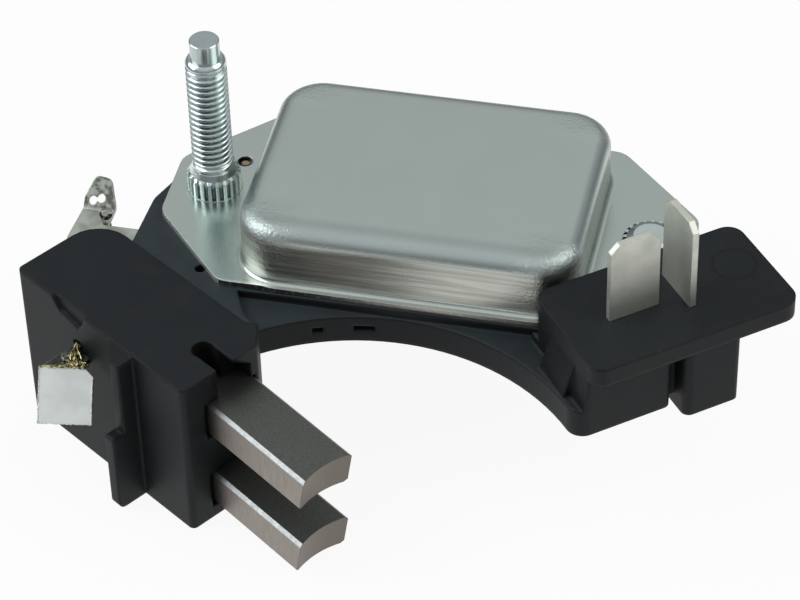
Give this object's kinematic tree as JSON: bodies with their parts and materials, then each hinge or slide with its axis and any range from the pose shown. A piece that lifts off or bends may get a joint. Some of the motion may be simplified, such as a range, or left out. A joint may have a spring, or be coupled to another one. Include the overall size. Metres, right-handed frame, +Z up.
{
  "type": "alternator voltage regulator",
  "caption": "Voltage regulator for a vehicle alternator: drawn metal cover over the circuit, crescent arm round the rotor shaft, sprung brushes in a moulded holder and blade terminals",
  "frame": {"origin": "on the axis of the mounting stud, level with the upper face of the cover's flange", "axes": "+X along the flange to the splined rivet, +Y away from the rotor shaft, +Z up along the stud"},
  "size_m": [0.0904, 0.0577, 0.0448],
  "materials": {
    "housing": "satin black phenolic moulding with fine grain",
    "cover": "plated drawn sheet, satin with faint streaks",
    "base_plate": "rolled plate with a sheared edge",
    "mounting_stud": "bright zinc plating",
    "splined_rivet": "bright zinc plating",
    "front_blade_terminal": "tinned brass",
    "rear_blade_terminal": "tinned brass",
    "brush_tab_terminal": "bright tinned brass",
    "tab_solder": "solder with loose brass strands",
    "rear_terminal_strip": "tinned brass",
    "rear_solder_joint": "dull solder",
    "upper_brush": "pressed copper graphite",
    "lower_brush": "pressed copper graphite",
    "upper_brush_spring": "drawn spring wire",
    "lower_brush_spring": "drawn spring wire",
    "upper_brush_lead": "braided copper",
    "lower_brush_lead": "braided copper",
    "upper_lead_tail": "tinned braid",
    "lower_lead_tail": "tinned braid",
    "ceramic_substrate": "fired white ceramic",
    "regulator_chip": "moulded package",
    "power_transistor": "moulded package",
    "freewheel_diode": "moulded package",
    "filter_capacitor": "moulded package",
    "chip_capacitor": "fired ceramic",
    "chip_resistors": "glazed ceramic",
    "bond_ribbons": "bright aluminium ribbon"
  },
  "bodies": {
    "regulator": {"housing": "housing", "cover": "cover", "base_plate": "base_plate", "mounting_stud": "mounting_stud", "splined_rivet": "splined_rivet", "front_blade_terminal": "front_blade_terminal", "rear_blade_terminal": "rear_blade_terminal", "brush_tab_terminal": "brush_tab_terminal", "tab_solder": "tab_solder", "rear_terminal_strip": "rear_terminal_strip", "rear_solder_joint": "rear_solder_joint", "upper_brush_spring": "upper_brush_spring", "lower_brush_spring": "lower_brush_spring", "upper_brush_lead": "upper_brush_lead", "lower_brush_lead": "lower_brush_lead", "upper_lead_tail": "upper_lead_tail", "lower_lead_tail": "lower_lead_tail", "ceramic_substrate": "ceramic_substrate", "regulator_chip": "regulator_chip", "power_transistor": "power_transistor", "freewheel_diode": "freewheel_diode", "filter_capacitor": "filter_capacitor", "chip_capacitor": "chip_capacitor", "chip_resistors": "chip_resistors", "bond_ribbons": "bond_ribbons"},
    "upper_brush_body": {"upper_brush": "upper_brush"},
    "lower_brush_body": {"lower_brush": "lower_brush"}
  },
  "joints": [
    {"name": "upper_brush_slide", "type": "slide", "parent": "regulator", "child": "upper_brush_body", "axis": [-0.8018, 0.5976, 0], "range_m": [0, 0.01], "stiffness_N_per_m": 120, "deforming": ["upper_brush_spring", "upper_brush_lead"]},
    {"name": "lower_brush_slide", "type": "slide", "parent": "regulator", "child": "lower_brush_body", "axis": [-0.8018, 0.5976, 0], "range_m": [0, 0.01], "stiffness_N_per_m": 120, "deforming": ["lower_brush_spring", "lower_brush_lead"]}
  ]
}
